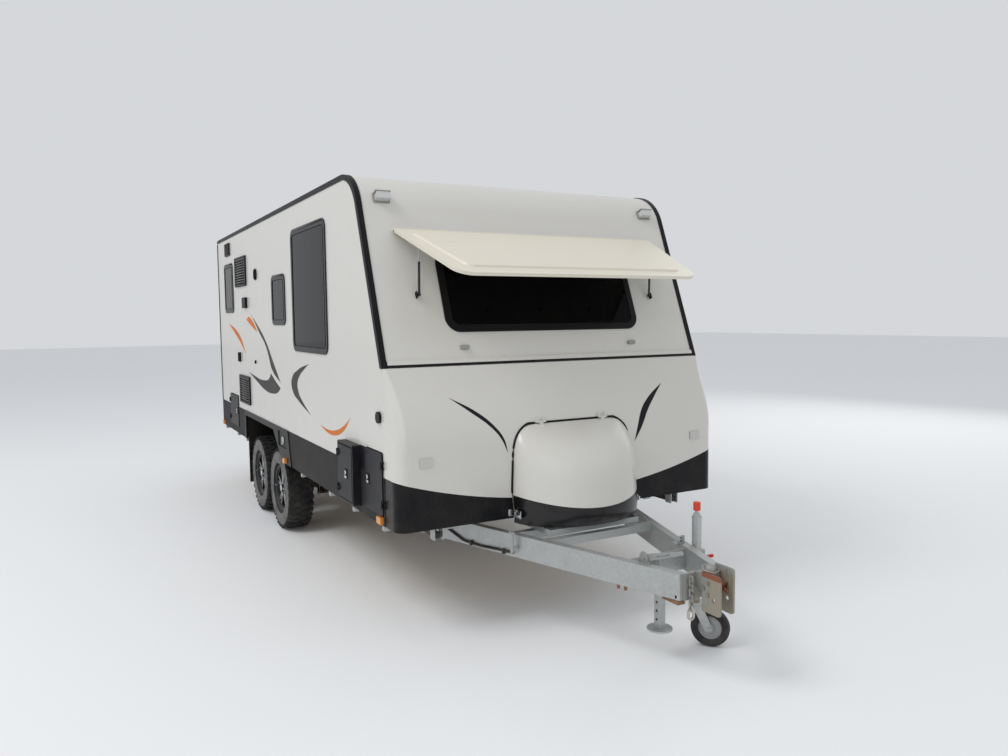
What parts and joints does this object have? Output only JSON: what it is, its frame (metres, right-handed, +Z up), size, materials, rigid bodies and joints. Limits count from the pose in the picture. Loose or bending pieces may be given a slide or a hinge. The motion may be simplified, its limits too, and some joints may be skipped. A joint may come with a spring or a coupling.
{
  "type": "travel caravan",
  "caption": "Tandem-axle travel caravan with moulded nose, A-frame drawbar, hinged doors and hatches, raised window shield, folded steadies and a jockey wheel.",
  "frame": {"origin": "on the ground under the middle of the overall length, on the centreline", "axes": "+X forward to the coupling, +Y to the nearside where the entry door is, +Z up"},
  "size_m": [7.714, 2.638, 3.105],
  "materials": {
    "white_panel": "satin",
    "roof_white": "satin",
    "cream_plastic": "satin",
    "dark_cladding": "satin",
    "black_plastic": "satin",
    "galvanised": "spangled",
    "black_steel": "satin",
    "tinted_glazing": "polished",
    "tyre_rubber": "matte",
    "alloy_rim": "machined",
    "steel": "satin",
    "lamp_lens": "clear",
    "awning_vinyl": "matte",
    "plywood": "satin",
    "mattress_cloth": "matte",
    "bottle_paint": "gloss",
    "tank_plastic": "matte",
    "jockey_rubber": "matte",
    "navy_door": "satin"
  },
  "bodies": {
    "caravan_body": {"awning": "awning_vinyl", "axles": "black_steel", "bed_base": "plywood", "chassis_frame": "galvanised", "coupling": "steel", "drawbar_beams": "galvanised", "drawbar_fittings": "steel", "edge_mouldings": "black_plastic", "floor_deck": "plywood", "front_panel": "white_panel", "gas_bottles": "bottle_paint", "jockey_tube": "galvanised", "leaf_springs": "black_steel", "locker_box": "black_plastic", "lower_cladding": "dark_cladding", "mattress": "mattress_cloth", "nose_moulding": "white_panel", "nose_skirt": "dark_cladding", "rear_wall": "white_panel", "road_lamps": "lamp_lens", "roof_panel": "roof_white", "roof_units": "roof_white", "safety_chains": "steel", "side_wall_nearside": "white_panel", "side_wall_offside": "white_panel", "spare_rim": "alloy_rim", "spare_tyre": "tyre_rubber", "wall_fittings": "black_plastic", "water_tanks": "tank_plastic", "wheel_arches": "black_plastic", "window_frames": "black_plastic", "window_panes": "tinted_glazing"},
    "gas_lid": {"gas_lid": "white_panel"},
    "window_shield": {"window_shield": "cream_plastic"},
    "strut_cylinders": {"strut_cylinders": "black_steel"},
    "strut_rods": {"strut_rods": "steel"},
    "entry_door": {"entry_door": "white_panel", "entry_window": "tinted_glazing"},
    "entry_step": {"entry_step": "black_steel"},
    "boot_door_offside": {"boot_door_offside": "navy_door"},
    "boot_door_nearside": {"boot_door_nearside": "navy_door"},
    "locker_door": {"locker_door": "black_plastic"},
    "service_hatch": {"service_hatch": "black_plastic"},
    "jockey_stem": {"jockey_stem": "steel"},
    "jockey_fork": {"jockey_fork": "galvanised"},
    "jockey_wheel": {"jockey_wheel": "jockey_rubber"},
    "drop_stand": {"drop_stand": "galvanised"},
    "steady_front_offside": {"steady_front_offside": "black_steel"},
    "steady_front_nearside": {"steady_front_nearside": "black_steel"},
    "steady_rear_offside": {"steady_rear_offside": "black_steel"},
    "steady_rear_nearside": {"steady_rear_nearside": "black_steel"},
    "wheel_front_offside": {"tyre_front_offside": "tyre_rubber", "rim_front_offside": "alloy_rim"},
    "wheel_front_nearside": {"tyre_front_nearside": "tyre_rubber", "rim_front_nearside": "alloy_rim"},
    "wheel_rear_offside": {"tyre_rear_offside": "tyre_rubber", "rim_rear_offside": "alloy_rim"},
    "wheel_rear_nearside": {"tyre_rear_nearside": "tyre_rubber", "rim_rear_nearside": "alloy_rim"}
  },
  "joints": [
    {"name": "wheel_front_offside_spin", "type": "hinge", "parent": "caravan_body", "child": "wheel_front_offside", "pos_m": [-0.613, -1.092, 0.375], "axis": [0, 1, 0], "continuous": true},
    {"name": "wheel_front_nearside_spin", "type": "hinge", "parent": "caravan_body", "child": "wheel_front_nearside", "pos_m": [-0.613, 1.092, 0.375], "axis": [0, 1, 0], "continuous": true},
    {"name": "wheel_rear_offside_spin", "type": "hinge", "parent": "caravan_body", "child": "wheel_rear_offside", "pos_m": [-1.453, -1.092, 0.375], "axis": [0, 1, 0], "continuous": true},
    {"name": "wheel_rear_nearside_spin", "type": "hinge", "parent": "caravan_body", "child": "wheel_rear_nearside", "pos_m": [-1.453, 1.092, 0.375], "axis": [0, 1, 0], "continuous": true},
    {"name": "jockey_wind", "type": "slide", "parent": "caravan_body", "child": "jockey_stem", "axis": [0, 0, 1], "range_m": [-0.1, 0.12]},
    {"name": "jockey_swivel", "type": "hinge", "parent": "jockey_stem", "child": "jockey_fork", "pos_m": [3.297, 0.308, 0.258], "axis": [0, 0, 1], "continuous": true},
    {"name": "jockey_wheel_spin", "type": "hinge", "parent": "jockey_fork", "child": "jockey_wheel", "pos_m": [3.36073, 0.3596, 0.112], "axis": [-0.6293, 0.7771, 0], "continuous": true},
    {"name": "drop_stand_slide", "type": "slide", "parent": "caravan_body", "child": "drop_stand", "axis": [0, 0, 1], "range_m": [-0.075, 0.12]},
    {"name": "steady_front_offside_swing", "type": "hinge", "parent": "caravan_body", "child": "steady_front_offside", "pos_m": [2.357, -0.93, 0.605], "axis": [0, -1, 0], "range_deg": [0, 65]},
    {"name": "steady_front_nearside_swing", "type": "hinge", "parent": "caravan_body", "child": "steady_front_nearside", "pos_m": [2.357, 0.93, 0.605], "axis": [0, -1, 0], "range_deg": [0, 65]},
    {"name": "steady_rear_offside_swing", "type": "hinge", "parent": "caravan_body", "child": "steady_rear_offside", "pos_m": [-3.263, -0.93, 0.605], "axis": [0, 1, 0], "range_deg": [0, 65]},
    {"name": "steady_rear_nearside_swing", "type": "hinge", "parent": "caravan_body", "child": "steady_rear_nearside", "pos_m": [-3.263, 0.93, 0.605], "axis": [0, 1, 0], "range_deg": [0, 65]},
    {"name": "shield_fold", "type": "hinge", "parent": "caravan_body", "child": "window_shield", "pos_m": [1.97694, 0, 2.49388], "axis": [0, 1, 0], "range_deg": [0, 45]},
    {"name": "strut_swing", "type": "hinge", "parent": "caravan_body", "child": "strut_cylinders", "pos_m": [2.1125, 0, 2.08001], "axis": [0, 1, 0], "range_deg": [-22.67, 0]},
    {"name": "strut_stroke", "type": "slide", "parent": "strut_cylinders", "child": "strut_rods", "axis": [0.0355, 0, 0.9994], "range_m": [-0.06179, 0]},
    {"name": "gas_lid_lift", "type": "hinge", "parent": "caravan_body", "child": "gas_lid", "pos_m": [2.463, 0, 1.267], "axis": [0, -1, 0], "range_deg": [0, 70]},
    {"name": "boot_door_offside_swing", "type": "hinge", "parent": "caravan_body", "child": "boot_door_offside", "pos_m": [2.247, -1.241, 0.915], "axis": [0, 0, 1], "range_deg": [0, 110]},
    {"name": "boot_door_nearside_swing", "type": "hinge", "parent": "caravan_body", "child": "boot_door_nearside", "pos_m": [2.247, 1.241, 0.915], "axis": [0, 0, -1], "range_deg": [0, 110]},
    {"name": "service_hatch_swing", "type": "hinge", "parent": "caravan_body", "child": "service_hatch", "pos_m": [-2.803, -1.241, 0.915], "axis": [0, 0, -1], "range_deg": [0, 110]},
    {"name": "locker_door_swing", "type": "hinge", "parent": "caravan_body", "child": "locker_door", "pos_m": [1.522, -1.291, 0.915], "axis": [0, 0, -1], "range_deg": [0, 110]},
    {"name": "entry_door_swing", "type": "hinge", "parent": "caravan_body", "child": "entry_door", "pos_m": [-2.103, 1.241, 0.933], "axis": [0, 0, -1], "range_deg": [0, 165]},
    {"name": "entry_step_slide", "type": "slide", "parent": "caravan_body", "child": "entry_step", "axis": [0, 1, 0], "range_m": [0, 0.28]}
  ],
  "couplings": [
    {"joint": "strut_swing", "follows": "shield_fold", "ratio": -0.50346},
    {"joint": "strut_stroke", "follows": "shield_fold", "m_per_rad": -0.078549}
  ]
}
